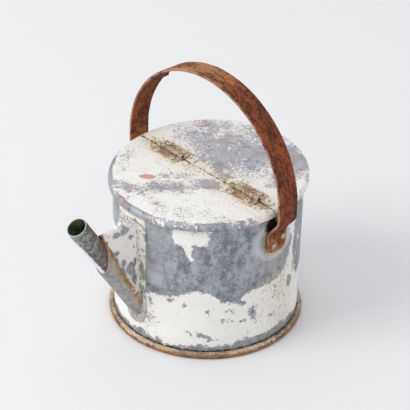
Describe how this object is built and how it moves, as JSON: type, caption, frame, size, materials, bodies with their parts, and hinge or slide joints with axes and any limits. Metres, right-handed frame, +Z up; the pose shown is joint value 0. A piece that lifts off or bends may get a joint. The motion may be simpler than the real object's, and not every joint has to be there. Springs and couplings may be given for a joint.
{
  "type": "watering can",
  "caption": "Rusty galvanised watering can with flaking white paint, a strap handle over the top, a hinged half lid and a short straight pipe spout.",
  "frame": {"origin": "centre of the base, on the ground", "axes": "+Z up, spout towards -Y, handle arch in the XZ plane, lid hinge along X, lid over the +Y half"},
  "size_m": [0.2294, 0.2885, 0.2807],
  "materials": {
    "flaked_white_paint": "flaking matt paint over zinc",
    "weathered_zinc": "weathered, partly rusted",
    "rusty_steel": "rusted",
    "patinated_pipe": "dark with a green patina at the rim",
    "dull_rivet": "dull"
  },
  "bodies": {
    "can": {"tank_wall": "flaked_white_paint", "tank_base": "weathered_zinc", "front_cover": "flaked_white_paint", "spout_tube": "patinated_pipe", "spout_housing": "flaked_white_paint", "handle_strap": "rusty_steel", "hinge_left_fixed_leaf": "rusty_steel", "hinge_left_pin": "rusty_steel", "hinge_left_fixed_rivet_1": "dull_rivet", "hinge_left_fixed_rivet_2": "dull_rivet", "handle_left_rivet_1": "dull_rivet", "handle_left_rivet_2": "dull_rivet", "hinge_right_fixed_leaf": "rusty_steel", "hinge_right_pin": "rusty_steel", "hinge_right_fixed_rivet_1": "dull_rivet", "hinge_right_fixed_rivet_2": "dull_rivet", "handle_right_rivet_1": "dull_rivet", "handle_right_rivet_2": "dull_rivet"},
    "lid": {"rear_lid": "flaked_white_paint", "hinge_left_lid_leaf": "rusty_steel", "hinge_left_lid_rivet_1": "dull_rivet", "hinge_left_lid_rivet_2": "dull_rivet", "hinge_right_lid_leaf": "rusty_steel", "hinge_right_lid_rivet_1": "dull_rivet", "hinge_right_lid_rivet_2": "dull_rivet"}
  },
  "joints": [
    {"name": "lid_hinge", "type": "hinge", "parent": "can", "child": "lid", "pos_m": [0, -0.00565, 0.17038], "axis": [1, 0, 0], "range_deg": [0, 76]}
  ]
}
